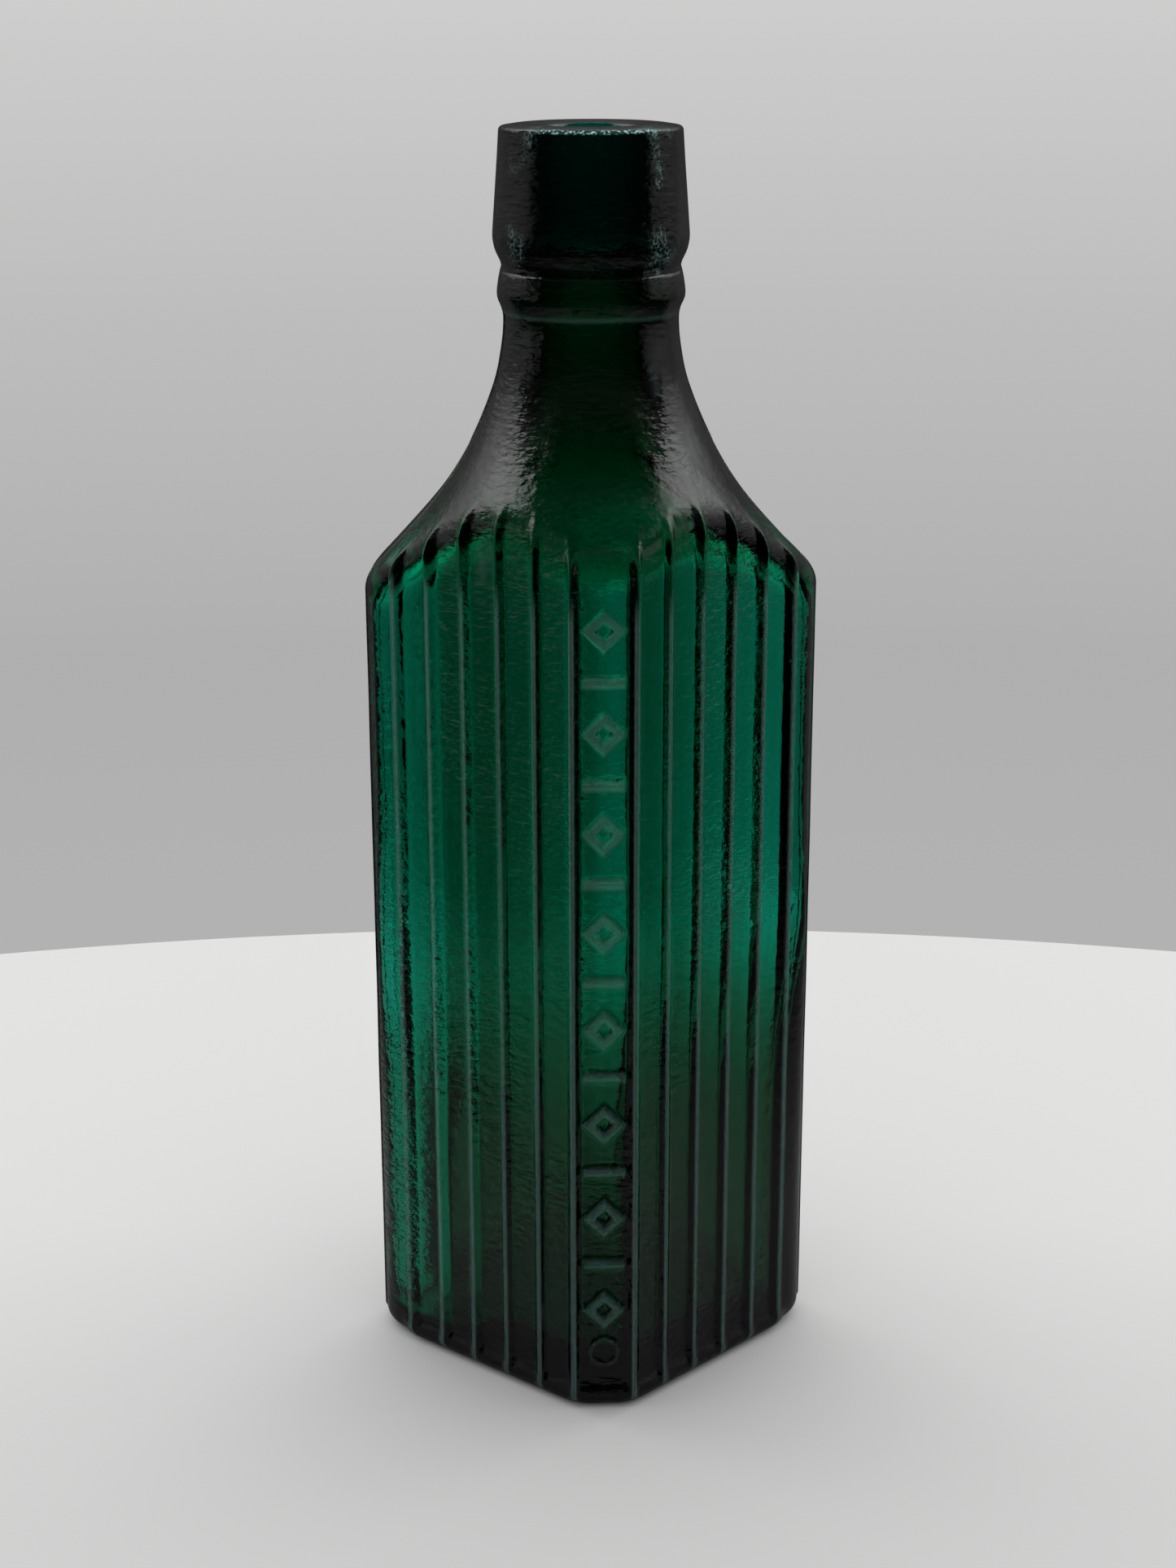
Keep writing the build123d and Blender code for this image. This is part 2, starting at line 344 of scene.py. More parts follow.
def inner_radius(angle, z):
    """Inner surface of the body, from its floor to the neck's bore."""
    turn = math.radians(abs(angle) - FACE_MIDDLE)
    thickness = curve_through(WALL_THICKNESS, angle) + extra_thickness(angle, z)
    power = INNER_SQUARENESS
    squareness = (abs(math.cos(turn)) ** power + abs(math.sin(turn)) ** power) ** (-1 / power)
    body = (INNER_SIDE + WALL_DRAFT * z - thickness) * squareness
    body += INNER_RIPPLE * waves(18.0, angle * 0.3, z * 0.6, 40.0)
    upper = curve_through(INNER_BELL, lifted(angle, z, INNER_LIFT))
    return smooth_min(body, upper, INNER_BLEND) if z < INNER_NECK_Z else upper


# ---------------------------------------------------------------- columns and rows of the mesh

RIB_OFFSETS = [0.08, 0.14, 0.22, 0.34, 0.48, 0.64, 0.8, 0.95, 1.12, 1.5]    # columns beside a rib's middle
FRONT_COLUMNS = 19              # across each half of the front panel
BACK_FACE_COLUMNS = 26
INNER_EVERY = 2                 # the inside and the underside keep one column in this many


def front_angle(across):
    """Angle of a place on the front panel, from how far it is from the panel's middle."""
    return math.degrees(math.atan(across / FRONT_DISTANCE))


def face_angle(along, face_middle):
    """Angle of a place on a face. along runs from its middle towards the front corner."""
    return face_middle - math.degrees(math.atan(along / HALF_SIDE))


def corner_angles(corner, turns):
    """Angles of places on a round corner. turns are counted in degrees of its arc, from its middle."""
    centre = CORNER_CENTRE / DIAGONAL
    angles = []
    for turn in turns:
        along = centre + CORNER_R * math.cos(math.radians(turn))
        across = CORNER_R * math.sin(math.radians(turn))
        angles.append(corner + math.degrees(math.atan2(across, along)))
    return angles


def column_angles():
    """Angles of the mesh's columns, closest together at the ribs, the seams and the ornament."""
    front_step = FRONT_HALF_WIDTH / (FRONT_COLUMNS + 1.5)
    half = [front_angle(front_step * step) for step in range(1, FRONT_COLUMNS + 1)]
    for rib in RIBS:
        half.append(face_angle(rib, FACE_MIDDLE))
        half += [face_angle(rib - offset, FACE_MIDDLE) for offset in RIB_OFFSETS]
        if rib is RIBS[0]:
            half += [front_angle(FRONT_HALF_WIDTH - offset) for offset in RIB_OFFSETS[:2]]
        else:
            half += [face_angle(rib + offset, FACE_MIDDLE) for offset in RIB_OFFSETS]
            half.append(face_angle(rib + RIB_PITCH / 2, FACE_MIDDLE))
    one_side = [1.1, 2.2, 3.5, 5.2, 9, 14, 20, 26, 32, 38, 44]
    half += corner_angles(SIDE_CORNER, [-turn for turn in reversed(one_side)] + [0] + one_side)
    for step in range(BACK_FACE_COLUMNS + 1):
        half.append(face_angle(CORNER_CENTRE * (1 - 2 * step / BACK_FACE_COLUMNS), BACK_FACE_MIDDLE))
    half += corner_angles(BACK_CORNER, [-39, -33, -27, -21, -15, -10, -5])
    half.sort()
    return [0] + half + [BACK_CORNER] + [-angle for angle in reversed(half)]


def steps(start, stop, step):
    """Evenly spaced heights from start, up or down, without stop itself."""
    count = round((stop - start) / step)
    return [start + (stop - start) * index / count for index in range(count)]


def wall_heights():
    """Heights of the rows above the heel, closest together at the panels' feet and the shoulder."""
    feet_top, wall_top, shoulder_top, neck_top, bead_start = 5.6, 94.6, 111, 124, 128.5
    return (steps(HEEL_R, feet_top, 0.4) + steps(feet_top, wall_top, 1.07)
            + steps(wall_top, shoulder_top, 0.45) + steps(shoulder_top, neck_top, 0.8)
            + steps(neck_top, bead_start, 1.0) + steps(bead_start, LIP_FOOT_Z, 0.45)
            + [LIP_FOOT_Z])


class Skin:
    """Collects the points and faces of one closed surface. places holds each point's angle and height."""

    def __init__(self):
        self.points = []
        self.places = []
        self.faces = []

    def point(self, angle, radius, z):
        """Adds one point and returns its number."""
        self.places.append((angle, z))
        turn = math.radians(angle - FACE_MIDDLE)
        self.points.append((radius * math.cos(turn) * MM, radius * math.sin(turn) * MM, z * MM))
        return len(self.points) - 1

    def ring(self, angles, radius, z):
        """Row of points. radius and z are numbers, or functions of the angle."""
        def at(value, angle):
            return value(angle) if callable(value) else value
        return [self.point(angle, at(radius, angle), at(z, angle)) for angle in angles]

    def band(self, lower, upper, between=()):
        """Faces between two rows. between holds part rows in the space, by column."""
        count = len(lower)
        for column in range(count):
            beside = (column + 1) % count
            left = [lower[column]] + [row[column] for row in between if column in row] + [upper[column]]
            right = [lower[beside]] + [row[beside] for row in between if beside in row] + [upper[beside]]
            if len(left) == len(right):
                loops = [(left[k], right[k], right[k + 1], left[k + 1]) for k in range(len(left) - 1)]
            else:
                loops = [tuple(right + left[::-1])]
            self.faces += loops

    def fan(self, row, z, outward=True):
        """Faces from a row to one point on the axis."""
        middle = self.point(0, 0, z)
        for column in range(len(row)):
            face = (row[column], row[(column + 1) % len(row)], middle)
            self.faces.append(face if outward else face[::-1])

    def thin_out(self, row, every, new, outward=True):
        """Faces from a row to a new row that keeps one column in every few."""
        for column in range(len(new)):
            start = column * every
            edge = [row[(start + step) % len(row)] for step in range(every + 1)]
            face = tuple(edge + [new[(column + 1) % len(new)], new[column]])
            self.faces.append(face if outward else face[::-1])

    def object(self, name, wear):
        """The finished piece. The last argument gives each place's painted highlight and rubbing, by its
        number, angle and height.
        """
        mesh = bpy.data.meshes.new(name)
        mesh.from_pydata(self.points, [], self.faces)
        highlight_and_wear = mesh.attributes.new("highlight_and_wear", "FLOAT", "POINT")
        highlight_and_wear.data.foreach_set("value", [wear(index, *place) for index, place in enumerate(self.places)])
        mesh.validate()
        mesh.shade_smooth()
        made = bpy.data.objects.new(name, mesh)
        bpy.context.scene.collection.objects.link(made)
        return made


# ---------------------------------------------------------------- painted highlights, glints and sheen, with rubbing

RIBS_TOP_Z = 104                # no rib reaches higher
RIBS_END = 82                   # degrees from the front corner
# the groove share is a painted highlight and the rim edge share painted glints; the scuff shares are
# partly real rubbing, partly painted sheen
GROOVE_HIGHLIGHT = 0.6               # shares of full wear
BODY_SCUFF_AND_SHEEN = 0.35
LIP_SCUFF_AND_SHEEN = 0.18
RIM_EDGE_GLINTS = 0.7
SCUFFS_AND_SHEEN_MIDDLE = 47              # degrees from the front corner, on both sides
RIM_GLINTS_END = 36               # the same


def scuffs(angle, z):
    """Patches on both sides of the front, on the shoulder, neck, bead and lip: partly real rubbing, partly
    painted sheen of the side light.
    """
    side = near(abs(angle), SCUFFS_AND_SHEEN_MIDDLE, 12, 6)
    patch = smooth_step((waves(3.2, angle * 0.19, z * 0.55, 12.0) - 0.08) / 0.2)
    fine = 0.6 + 0.8 * waves(0.9, angle * 0.19, z * 0.5, 30.0)
    return side * patch * fine * smooth_step((z - 98) / 6)


def body_wear(angle, z):
    """Painted highlight: 1 along the two edges of each rib's crest, less on its middle, on the raised
    ornament and in the groove under the bead. Plus the scuff patches, partly real rubbing and partly
    painted sheen."""
    scuffed_and_sheen = BODY_SCUFF_AND_SHEEN * scuffs(angle, z)
    if z > RIBS_TOP_Z:
        # painted highlight in the groove under the bead, and the scuff patches
        return max(GROOVE_HIGHLIGHT * near(z, BEAD_FOOT_Z, 0.4), scuffed_and_sheen)
    if abs(angle) > RIBS_END:
        return 0.0
    beside = nearest_rib(angle)[1]
    # painted highlight along the edges of the rib crests, and on the raised ornament
    crest = 0.5 + 0.5 * smooth_step((beside - 0.05) / 0.15) - smooth_step((beside - 0.2) / 0.25)
    raised = 0.5 * ornament(angle, z) / ORNAMENT_RELIEF
    return max(crest, raised, 0.0) * (1 - smooth_step((z - 97) / 5)) + scuffed_and_sheen


def lip_wear(angle, z):
    """Painted glints, highest along the front of the rim's outer edge; plus the scuff patches, partly real
    rubbing and partly painted sheen.
    """
    signed = angle if angle < 180 else angle - 360
    # painted glint along the front of the rim's outer edge
    round_the_edge = near(z, LIP_TOP_Z - 0.4 * RIM_ROUND - RIM_CROWN, 0.35)
    front = 1 - smooth_step((abs(signed) - RIM_GLINTS_END) / 12)
    return max(RIM_EDGE_GLINTS * round_the_edge * front, LIP_SCUFF_AND_SHEEN * scuffs(signed, z))


# ---------------------------------------------------------------- the two pieces

LIP_COLUMNS = 144
LIP_RIPPLE = 0.03
MOUTH_STEP = 1.5                # height of the rows down the mouth
ROUND_STEPS = 8                 # rows in each rounded edge
FINE_ROWS_FROM_Z = 4            # between these heights the ornament has two rows in each space
FINE_ROWS_TO_Z = 100
FINE_ROWS_REACH = 8.2           # degrees from the front corner
DISH_EDGE_SHARE = 0.96
DISH_EDGE_RISE = 0.06


def part_rows(skin, angles, lower_z, upper_z):
    """Two part rows of points between two heights, at the columns that cross the ornament."""
    strip = [column for column, angle in enumerate(angles) if abs(angle) < FINE_ROWS_REACH]
    rows = []
    for share in (1 / 3, 2 / 3):
        z = lower_z + (upper_z - lower_z) * share
        rows.append({column: skin.point(angles[column], outer_radius(angles[column], z), z)
                     for column in strip})
    return rows


def add_outside(skin, angles):
    """Heel, walls, shoulder, neck and bead, from the resting face up. Returns the first and last rows."""
    rows = []
    for step in range(ROUND_STEPS):
        turn = math.radians(90 * step / ROUND_STEPS)
        z = HEEL_R * (1 - math.cos(turn))
        inset = HEEL_R * (1 - math.sin(turn))
        rows.append(skin.ring(angles, lambda angle: plan_radius(angle, z, inset + recess(angle, z)), z))
    between = {}
    previous_z = None
    for z in wall_heights():
        if previous_z is not None and FINE_ROWS_FROM_Z < previous_z < FINE_ROWS_TO_Z:
            between[len(rows) - 1] = part_rows(skin, angles, previous_z, z)
        rows.append(skin.ring(angles, lambda angle: outer_radius(angle, z), z))
        previous_z = z
    for index in range(len(rows) - 1):
        skin.band(rows[index], rows[index + 1], between=between.get(index, ()))
    return rows[0], rows[-1]


def add_inside(skin, angles, few, neck_row):
    """Spigot inside the lip, then the bore, the hollow and its floor."""
    spigot_foot = skin.ring(angles, SPIGOT_R, LIP_FOOT_Z)
    spigot_top = skin.ring(angles, SPIGOT_R, NECK_TOP_Z)
    skin.band(neck_row, spigot_foot)
    skin.band(spigot_foot, spigot_top)
    row = skin.ring(few, NECK_BORE_R, NECK_TOP_Z)
    skin.thin_out(spigot_top, INNER_EVERY, row)
    floor_top = FLOOR_Z + FLOOR_ROUND
    bell_top, bell_foot = 122, 97
    heights = (steps(NECK_TOP_Z, bell_top, -2.0) + steps(bell_top, bell_foot, -1.0)
               + steps(bell_foot, floor_top, -2.0) + [floor_top])
    for z in heights[1:]:
        next_row = skin.ring(few, lambda angle: inner_radius(angle, z), z)
        skin.band(row, next_row)
        row = next_row
    for turn in (math.radians(15 * step) for step in range(1, 7)):
        inset = FLOOR_ROUND * (1 - math.cos(turn))
        next_row = skin.ring(few, lambda angle: inner_radius(angle, floor_top) - inset,
                             lambda angle: floor_top - (FLOOR_ROUND + floor_dip(angle)) * math.sin(turn))
        skin.band(row, next_row)
        row = next_row
    for share in (0.85, 0.7, 0.45, 0.2):
        next_row = skin.ring(few, lambda angle: (inner_radius(angle, floor_top) - FLOOR_ROUND) * share,
                             lambda angle: FLOOR_Z - floor_dip(angle) * share ** 3)
        skin.band(row, next_row)
        row = next_row
    skin.fan(row, FLOOR_Z)


def add_underside(skin, angles, few, heel_row):
    """Flat resting face with a shallow dish in its middle."""
    def face_radius(angle):
        return PUSH_UP_R + (plan_radius(angle, 0, HEEL_R) - PUSH_UP_R) * share

    row = heel_row
    for share in (0.5, 0.0):
        next_row = skin.ring(angles, face_radius, 0.0)
        skin.band(next_row, row)
        row = next_row
    dish_edge = skin.ring(few, PUSH_UP_R * DISH_EDGE_SHARE, DISH_EDGE_RISE)
    skin.thin_out(row, INNER_EVERY, dish_edge, outward=False)
    row = dish_edge
    for share in (0.9, 0.75, 0.5, 0.25):
        next_row = skin.ring(few, PUSH_UP_R * share, PUSH_UP_DEPTH * (1 - share ** 2))
        skin.band(next_row, row)
        row = next_row
    skin.fan(row, PUSH_UP_DEPTH, outward=False)


def make_body():
    skin = Skin()
    angles = column_angles()
    few = angles[::INNER_EVERY]
    heel_row, neck_row = add_outside(skin, angles)
    outer_count = len(skin.points)
    add_inside(skin, angles, few, neck_row)
    add_underside(skin, angles, few, heel_row)

    def wear(index, angle, z):
        return body_wear(angle, z) if index < outer_count else 0.0

    return skin.object("glass_body", wear)


def lip_outline(foot_z, seat_z):
    """Radius and height round the lip's section: up the side, over the rim and down the mouth."""
    socket_r = SPIGOT_R - JOINT_OVERLAP
    shelf_z = LIP_TOP_Z - RIM_CROWN
    side_top = shelf_z - RIM_ROUND
    outline = [(curve_through(LIP_PROFILE, LIP_FOOT_Z), foot_z)]
    outline += [(curve_through(LIP_PROFILE, z), z) for z in steps(LIP_FOOT_Z, side_top, 0.5)]
    rim_r = curve_through(LIP_PROFILE, side_top) - RIM_ROUND
    quarter = [math.radians(90 * step / ROUND_STEPS) for step in range(ROUND_STEPS + 1)]
    for turn in quarter:
        outline.append((rim_r + RIM_ROUND * math.cos(turn), side_top + RIM_ROUND * math.sin(turn)))
    mouth_edge = MOUTH_R + MOUTH_ROUND
    for share in (1 - step / 8 for step in range(1, 8)):
        rise = RIM_CROWN * math.sin(math.pi * share)
        outline.append((mouth_edge + (rim_r - mouth_edge) * share, shelf_z + rise))
    for turn in quarter:
        outline.append((mouth_edge - MOUTH_ROUND * math.sin(turn),
                        shelf_z - MOUTH_ROUND * (1 - math.cos(turn))))
    outline += [(MOUTH_R, z) for z in steps(shelf_z - MOUTH_ROUND - MOUTH_STEP, seat_z, -MOUTH_STEP)]
    return outline + [(MOUTH_R, seat_z), (socket_r, seat_z), (socket_r, foot_z)]


def make_lip():
    skin = Skin()
    angles = [360 * column / LIP_COLUMNS for column in range(LIP_COLUMNS)]
    foot_z = LIP_FOOT_Z - JOINT_OVERLAP
    seat_z = NECK_TOP_Z - JOINT_OVERLAP
    rows = []
    for radius, z in lip_outline(foot_z, seat_z):
        in_socket = z <= seat_z and radius <= SPIGOT_R

        def tooled(angle):
            turn = math.radians(angle)
            return radius + LIP_RIPPLE * waves(6.0, 8 * math.cos(turn), 8 * math.sin(turn), z * 0.6)

        rows.append(skin.ring(angles, radius if in_socket or z <= foot_z else tooled, z))
    for index in range(len(rows)):
        skin.band(rows[index], rows[(index + 1) % len(rows)])
    return skin.object("glass_lip", lambda index, angle, z: lip_wear(angle, z))


# ---------------------------------------------------------------- materials

class Nodes:
    """Small helper that adds nodes to one tree and joins them."""

    def __init__(self, tree):
        self.tree = tree
        tree.nodes.clear()

    def add(self, kind, settings=None, **inputs):
        node = self.tree.nodes.new(kind)
        for name, value in (settings or {}).items():
            setattr(node, name, value)
        for name, value in inputs.items():
            self.set(node, name.replace("_", " "), value)
        return node

    def set(self, node, name, value):
        socket = node.inputs[int(name)] if name.isdigit() else node.inputs[name]
        if isinstance(value, bpy.types.NodeSocket):
            self.tree.links.new(value, socket)
        else:
            socket.default_value = value

    def math(self, operation, *values):
        node = self.tree.nodes.new("ShaderNodeMath")
        node.operation = operation
        for index, value in enumerate(values):
            self.set(node, str(index), value)
        return node.outputs[0]

    def ramp(self, value, stops):
        """Grey ramp over 0 to 1."""
        node = self.tree.nodes.new("ShaderNodeValToRGB")
        elements = node.color_ramp.elements
        while len(elements) < len(stops):
            elements.new(0.5)
        for element, (place, grey) in zip(elements, stops):
            element.position = place
            element.color = (grey, grey, grey, 1)
        self.set(node, "0", value)
        return node.outputs[0]

    def mix(self, share, first, second):
        """One number: the first where share is 0, the second where it is 1."""
        node = self.add("ShaderNodeMix", {"data_type": "FLOAT"})
        for name, value in (("0", share), ("2", first), ("3", second)):
            self.set(node, name, value)
        return node.outputs[0]

    def mix_colours(self, share, first, second, blend="MIX"):
        node = self.add("ShaderNodeMix", {"data_type": "RGBA", "blend_type": blend})
        for name, value in (("0", share), ("6", first), ("7", second)):
            self.set(node, name, value)
        return node.outputs[2]

    def with_vector(self, operation, place, fixed):
        """Dot product or distance between a place and a fixed vector."""
        node = self.add("ShaderNodeVectorMath", {"operation": operation})
        for name, value in (("0", place), ("1", fixed)):
            self.set(node, name, value)
        return node.outputs["Value"]

    def stretched_noise(self, place, stretch, scale, detail=2.0, roughness=0.5):
        mapping = self.add("ShaderNodeMapping", Vector=place, Scale=stretch)
        found = self.add("ShaderNodeTexNoise", Vector=mapping.outputs[0], Scale=scale, Detail=detail,
                         Roughness=roughness)
        return found.outputs[0]


GLASS_TINT = (0.55, 0.98, 0.93, 1)
GLASS_IOR = 1.52
RIPPLE_DEPTH = 0.00018              # metres
BODY_ABSORBS = (1150, 325, 420)     # per metre of glass, from red, green and blue
LIP_ABSORBS = (1150, 400, 420)
HAZE_TOP = 0.15                     # metres: height that the haze ramps run up to
BODY_HAZE = [(0.0, 0.35), (0.12, 0.05), (0.62, 0.05), (0.70, 0.9), (0.84, 0.8), (0.90, 0.4)]
LIP_HAZE = [(0.88, 0.3), (0.92, 0.8), (0.99, 0.3)]


def glass_material(name, absorbs, haze_by_height, smoothest, even_sheen_and_wear, speckled_glints_and_wear):
    """Thick coloured glass. The last two numbers say how much light the places of painted highlight,
    glints and rubbing scatter.
    """
    material = bpy.data.materials.new(name)
    material.use_nodes = True
    nodes = Nodes(material.node_tree)
    place = nodes.add("ShaderNodeTexCoord").outputs["Object"]

    # patches of duller gloss, mostly on the shoulder, the neck and the lip
    height = nodes.add("ShaderNodeSeparateXYZ", Vector=place).outputs["Z"]
    haze = nodes.ramp(nodes.math("DIVIDE", height, HAZE_TOP), haze_by_height)
    patches = nodes.stretched_noise(place, (1, 1, 0.5), 220, 4, 0.65)
    specks = nodes.stretched_noise(place, (1, 1, 1), 1900, 2, 0.6)
    speckled = nodes.math("MULTIPLY", patches, nodes.math("ADD", specks, 0.5))
    patchy = nodes.ramp(speckled, [(0.4, 0), (0.72, 1)])
    roughness = nodes.math("MULTIPLY_ADD", nodes.math("MULTIPLY", haze, patchy), 0.3, smoothest)

    # painted highlights, glints and rubbing scatter a little light: pale lines on the rib crests and
    # ornament, the scuff patches with painted sheen, and painted glints speckled along the rim
    painted_highlight_and_wear = nodes.add("ShaderNodeAttribute", {"attribute_name": "highlight_and_wear"}).outputs["Fac"]
    glint_and_chip_specks = nodes.ramp(nodes.stretched_noise(place, (1, 1, 1), 3200, 1, 0.5), [(0.5, 0), (0.6, 1)])
    scattered = nodes.math("MULTIPLY", painted_highlight_and_wear, nodes.math("MULTIPLY_ADD", glint_and_chip_specks, speckled_glints_and_wear, even_sheen_and_wear))

    # ripple left by the mould: short fine waves lying across the bottle
    banding = nodes.stretched_noise(place, (0.4, 0.4, 1), 1500, 2, 0.55)
    where = nodes.ramp(nodes.stretched_noise(place, (1, 1, 0.6), 70, 1), [(0.36, 0.1), (0.6, 1)])
    peel = nodes.stretched_noise(place, (1, 1, 1), 500, 1, 0.5)
    height_map = nodes.math("MULTIPLY_ADD", banding, where, nodes.math("MULTIPLY", peel, 0.4))
    bump = nodes.add("ShaderNodeBump", Strength=1.0, Distance=RIPPLE_DEPTH, Height=height_map)

    shader = nodes.add("ShaderNodeBsdfPrincipled", Roughness=roughness, Normal=bump.outputs[0])
    shader.inputs["Base Color"].default_value = GLASS_TINT
    shader.inputs["IOR"].default_value = GLASS_IOR
    nodes.set(shader, "Transmission Weight", nodes.math("SUBTRACT", 1.0, scattered))
    density = max(absorbs) * 1.05
    volume = nodes.add("ShaderNodeVolumeAbsorption", Density=density)
    volume.inputs["Color"].default_value = tuple(1 - part / density for part in absorbs) + (1,)
    output = nodes.add("ShaderNodeOutputMaterial", Surface=shader.outputs[0])
    nodes.set(output, "Volume", volume.outputs[0])
    return material


def floor_material():
    """Pale paper with painted shade, darker towards the camera."""
    material = bpy.data.materials.new("pale_floor")
    material.use_nodes = True
    nodes = Nodes(material.node_tree)
    place = nodes.add("ShaderNodeTexCoord").outputs["Object"]
    grain = nodes.stretched_noise(place, (1, 1, 1), 9, 3)
    paper = nodes.mix_colours(grain, (0.81, 0.81, 0.808, 1), (0.83, 0.83, 0.828, 1))
    # painted shade: the paper is darker towards the camera
    ahead = nodes.math("ADD", nodes.with_vector("DOT_PRODUCT", place, TOWARDS_CAMERA), DISC_SHIFT)
    shade = nodes.ramp(nodes.math("MULTIPLY_ADD", ahead, 2.0, 0.4),
                       [(0.15, 0.71), (0.34, 0.71), (0.46, 0.66), (0.7, 0.60)])
    shader = nodes.add("ShaderNodeBsdfPrincipled", Roughness=0.9)
    nodes.set(shader, "Base Color", nodes.mix_colours(1.0, paper, shade, "MULTIPLY"))
    shader.inputs["Specular IOR Level"].default_value = 0.1

    # the bottle's gloss sees a dimmer floor, and hardly any of it further out
    from_bottle = nodes.with_vector("DISTANCE", place, -TOWARDS_CAMERA * DISC_SHIFT)
    lit = nodes.ramp(nodes.math("MULTIPLY", from_bottle, 4.0), [(0.25, 0.3), (0.5, 0.14), (0.8, 0.01)])
    rays = nodes.add("ShaderNodeLightPath")
    gloss = nodes.math("MULTIPLY", rays.outputs["Is Glossy Ray"], rays.outputs["Is Reflection Ray"])
    dimming = nodes.math("MULTIPLY", gloss, nodes.math("SUBTRACT", 1.0, lit))
    black = nodes.add("ShaderNodeEmission", Strength=0.0)
    seen = nodes.add("ShaderNodeMixShader")
    for name, value in (("0", dimming), ("1", shader.outputs[0]), ("2", black.outputs[0])):
        nodes.set(seen, name, value)
    nodes.add("ShaderNodeOutputMaterial", Surface=seen.outputs[0])
    return material


# ---------------------------------------------------------------- surroundings

# Camera, from the photograph's perspective
CAMERA_AZIMUTH = math.radians(41.97)
CAMERA_PITCH = math.radians(15.80)
CAMERA_YAW = math.radians(0.078)
CAMERA_ROLL = math.radians(-0.109)
CAMERA_DISTANCE = 352.53        # level distance from the bottle's axis
CAMERA_HEIGHT = 171.43
SENSOR_HEIGHT = 36
FOCAL_LENGTH = 68.0273
TOWARDS_CAMERA = Vector((math.sin(CAMERA_AZIMUTH), -math.cos(CAMERA_AZIMUTH), 0))


def add_camera():
    data = bpy.data.cameras.new("camera")
    data.lens = FOCAL_LENGTH
    data.sensor_fit = "VERTICAL"
    data.sensor_height = SENSOR_HEIGHT
    data.clip_start = 0.01
    camera = bpy.data.objects.new("camera", data)
    bpy.context.scene.collection.objects.link(camera)
    turn = CAMERA_AZIMUTH + CAMERA_YAW
    back = Vector((math.sin(turn) * math.cos(CAMERA_PITCH), -math.cos(turn) * math.cos(CAMERA_PITCH),
                   math.sin(CAMERA_PITCH)))
    right = Vector((0, 0, 1)).cross(back).normalized()
    up = back.cross(right)
    axes = Matrix((right, up, back)).transposed().to_4x4()
    place = TOWARDS_CAMERA * CAMERA_DISTANCE + Vector((0, 0, CAMERA_HEIGHT))
    camera.matrix_world = Matrix.Translation(place * MM) @ axes @ Matrix.Rotation(CAMERA_ROLL, 4, "Z")
    bpy.context.scene.camera = camera


DISC_R = 0.40
DISC_SHIFT = 0.2425             # towards the camera
DISC_DROP = 0.00005             # just below the bottle's resting face


def add_floor():
    sides = 256
    rings = [0.1, 0.25, DISC_R]
    points = [(0, 0, 0)]
    for radius in rings:
        points += [(radius * math.cos(math.tau * k / sides), radius * math.sin(math.tau * k / sides), 0)
                   for k in range(sides)]
    faces = [(0, 1 + k, 1 + (k + 1) % sides) for k in range(sides)]
    for ring in range(len(rings) - 1):
        inner = 1 + ring * sides
        outer = inner + sides
        faces += [(inner + k, outer + k, outer + (k + 1) % sides, inner + (k + 1) % sides)
                  for k in range(sides)]
    mesh = bpy.data.meshes.new("floor")
    mesh.from_pydata(points, [], faces)
    floor = bpy.data.objects.new("floor", mesh)
    bpy.context.scene.collection.objects.link(floor)
    floor.location = TOWARDS_CAMERA * DISC_SHIFT - Vector((0, 0, DISC_DROP))
    mesh.materials.append(floor_material())


# Grey of the surround by height: 0 is straight down, 0.5 level and 1 straight up
WALL = [(0.0, 0.42), (0.345, 0.445), (0.386, 0.43), (0.439, 0.505), (0.486, 0.60), (0.56, 0.78),
        (0.70, 1.6), (0.80, 3.4), (0.88, 3.4), (0.93, 0.04)]
DOME = [(0.0, 0.2), (0.5, 0.6), (0.7, 0.9), (1.0, 1.1)]
BESIDE_SHARE = [(0.40, 0.05), (0.45, 1)]        # how much of MIRRORED_BESIDE counts
HIGH_SHARE = [(0.56, 0), (0.66, 1)]             # how much MIRRORED_HIGH replaces the other two

# Share of the wall by direction: 0 is behind the bottle, 0.5 beside it and 1 towards the camera
SEEN_THROUGH = [(0.0, 1.0), (0.25, 0.9), (0.42, 0.6), (0.55, 0.5), (0.6, 0.02)]
MIRRORED_HIGH = [(0.0, 0.1), (0.08, 0.3), (0.2, 0.6), (0.3, 0.6), (0.39, 0.4), (0.44, 0.03), (0.6, 0.015)]
MIRRORED_BEHIND = [(0.0, 0.07), (0.03, 0.1), (0.12, 0.21), (0.22, 0.26), (0.33, 0)]
MIRRORED_BESIDE = [(0.22, 0), (0.33, 0.38), (0.44, 0.42), (0.5, 0.44), (0.58, 0.36), (0.69, 0)]


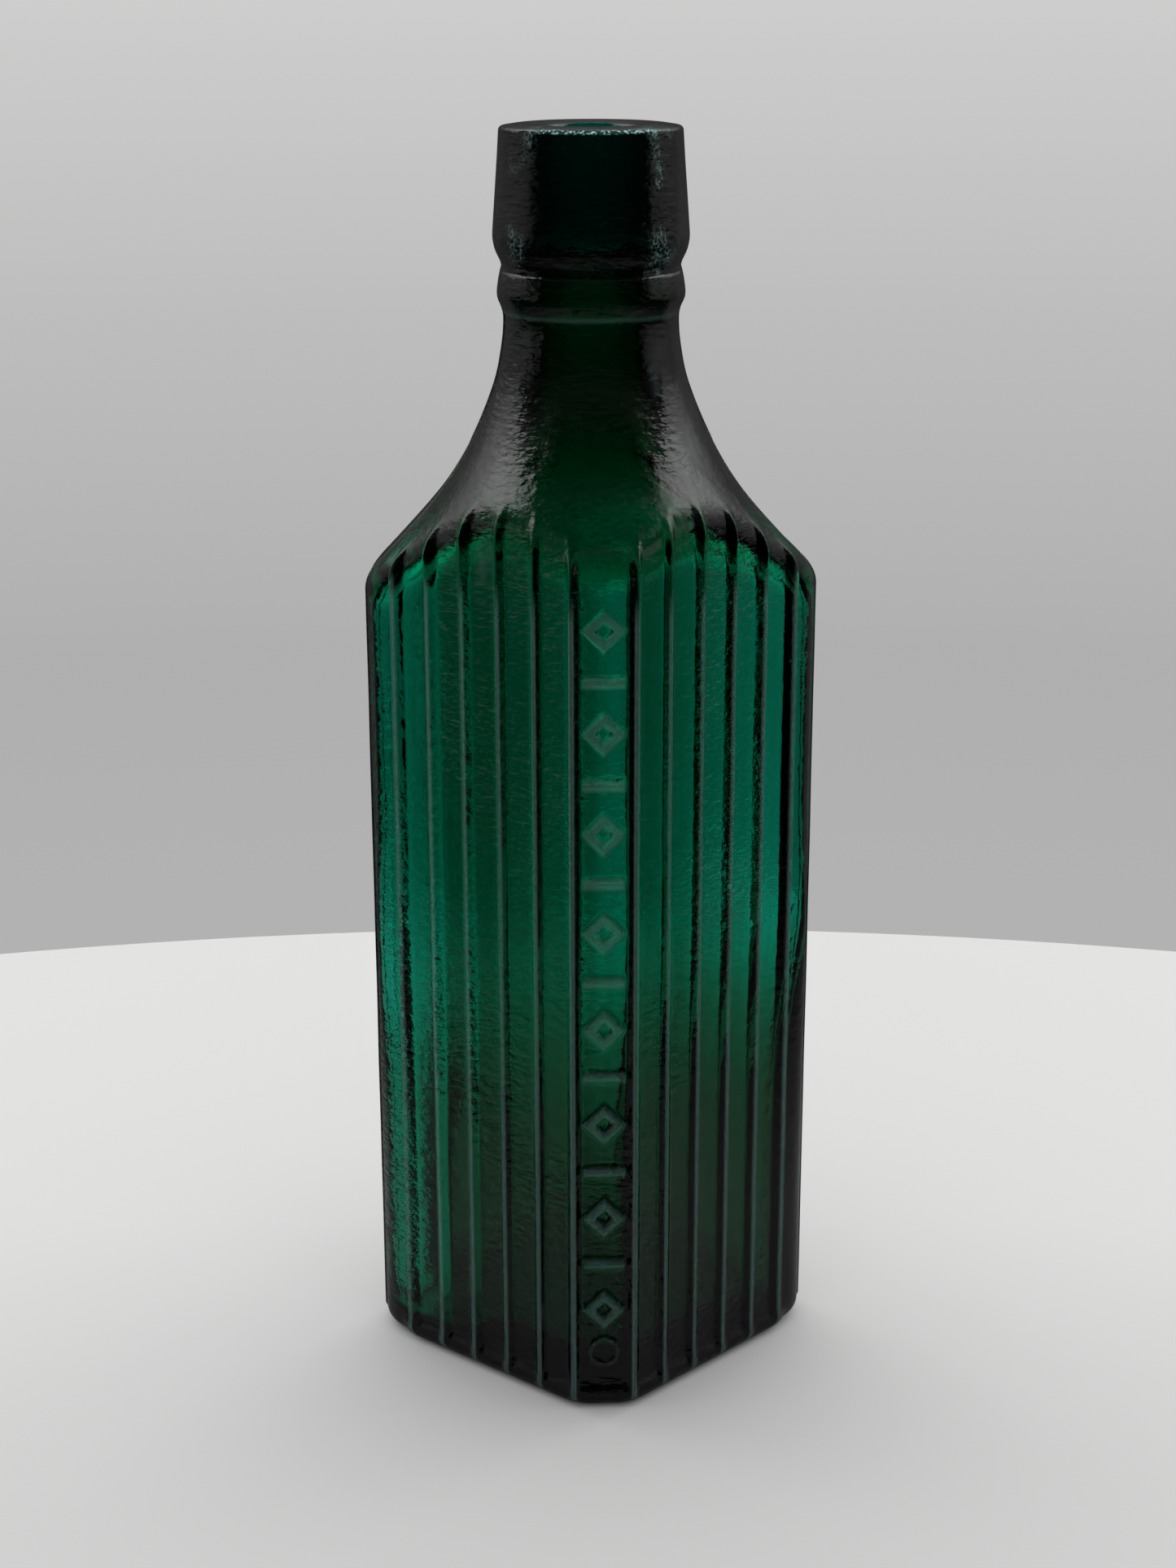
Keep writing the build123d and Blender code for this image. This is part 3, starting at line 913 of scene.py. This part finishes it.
def add_world():
    """Grey walls all round. The camera sees them as they are, light through the glass and gloss see them
    dimmed by direction, and dull surfaces are lit by an even dome."""
    world = bpy.data.worlds.new("surround")
    bpy.context.scene.world = world
    world.use_nodes = True
    nodes = Nodes(world.node_tree)
    direction = nodes.add("ShaderNodeTexCoord").outputs["Generated"]
    rise = nodes.add("ShaderNodeSeparateXYZ", Vector=direction).outputs["Z"]
    flat_squared = nodes.math("SUBTRACT", 1.0, nodes.math("MULTIPLY", rise, rise))
    flat = nodes.math("SQRT", nodes.math("MAXIMUM", flat_squared, 0.0001))
    frontness = nodes.math("DIVIDE", nodes.with_vector("DOT_PRODUCT", direction, TOWARDS_CAMERA), flat)
    height = nodes.math("MULTIPLY_ADD", rise, 0.5, 0.5)
    around = nodes.math("MULTIPLY_ADD", frontness, 0.5, 0.5)

    beside = nodes.ramp(around, MIRRORED_BESIDE)
    behind = nodes.ramp(around, MIRRORED_BEHIND)
    mirrored_low = nodes.math("MULTIPLY_ADD", beside, nodes.ramp(height, BESIDE_SHARE), behind)
    mirrored = nodes.mix(nodes.ramp(height, HIGH_SHARE), mirrored_low, nodes.ramp(around, MIRRORED_HIGH))

    rays = nodes.add("ShaderNodeLightPath").outputs
    wall = nodes.ramp(height, WALL)
    share = nodes.mix(rays["Is Reflection Ray"], nodes.ramp(around, SEEN_THROUGH), mirrored)
    glass_light = nodes.math("MULTIPLY", wall, share)
    light = nodes.mix(rays["Is Diffuse Ray"], glass_light, nodes.ramp(height, DOME))
    seen = nodes.mix(rays["Is Camera Ray"], light, wall)
    tinted = nodes.mix_colours(1.0, seen, (1.0, 1.0, 0.995, 1), "MULTIPLY")
    background = nodes.add("ShaderNodeBackground", Strength=1.0)
    nodes.set(background, "Color", tinted)
    nodes.add("ShaderNodeOutputWorld", Surface=background.outputs[0])


def set_up_rendering():
    scene = bpy.context.scene
    scene.view_settings.view_transform = "Standard"
    scene.cycles.max_bounces = 24
    scene.cycles.glossy_bounces = 12
    scene.cycles.transmission_bounces = 20
    scene.cycles.diffuse_bounces = 3
    scene.cycles.blur_glossy = 0.3
    scene.cycles.sample_clamp_indirect = 4.0


add_camera()
add_floor()
add_world()
set_up_rendering()

body = make_body()
body.data.materials.append(glass_material("bottle_glass", BODY_ABSORBS, BODY_HAZE, smoothest=0.012,
                                          even_sheen_and_wear=0.085, speckled_glints_and_wear=0.03))
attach(body, "root")
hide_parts("moulded_body")

lip = make_lip()
lip.data.materials.append(glass_material("lip_glass", LIP_ABSORBS, LIP_HAZE, smoothest=0.02,
                                         even_sheen_and_wear=0.08, speckled_glints_and_wear=0.9))
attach(lip, "root")
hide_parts("collar_lip")
